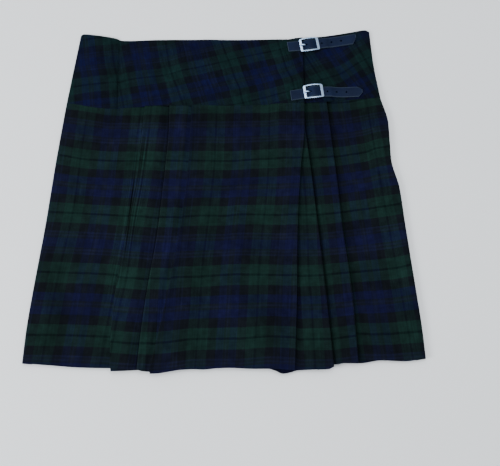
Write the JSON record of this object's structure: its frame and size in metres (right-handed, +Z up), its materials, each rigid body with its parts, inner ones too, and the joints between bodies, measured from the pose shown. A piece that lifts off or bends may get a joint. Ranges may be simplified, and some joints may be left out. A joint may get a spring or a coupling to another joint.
{
  "type": "kilt",
  "caption": "Short yoked tartan kilt laid flat, with knife pleats, a wrap-over apron and leather straps with metal buckles at the hip.",
  "frame": {"origin": "on the floor under the middle of the laid-out garment", "axes": "+X to the viewer's right, +Y from the hem to the waist, +Z up from the floor"},
  "size_m": [0.5307, 0.5163, 0.0159],
  "materials": {
    "skirt_tartan": "matt twill tartan in dark green, navy blue and black",
    "yoke_tartan": "the same twill tartan, cut as a curved band",
    "strap_leather": "black smooth leather with a slight sheen",
    "buckle_metal": "bright nickel plate"
  },
  "bodies": {
    "root": {"skirt_over_apron": "skirt_tartan", "skirt_under_apron": "skirt_tartan", "skirt_back": "skirt_tartan", "yoke_left_side": "yoke_tartan", "yoke_over_apron": "yoke_tartan", "yoke_under_apron": "yoke_tartan", "yoke_back": "yoke_tartan", "strap_upper": "strap_leather", "strap_lower": "strap_leather", "chape_upper": "strap_leather", "chape_lower": "strap_leather", "buckle_frame_upper": "buckle_metal", "buckle_frame_lower": "buckle_metal", "buckle_pin_upper": "buckle_metal", "buckle_pin_lower": "buckle_metal"}
  },
  "joints": []
}
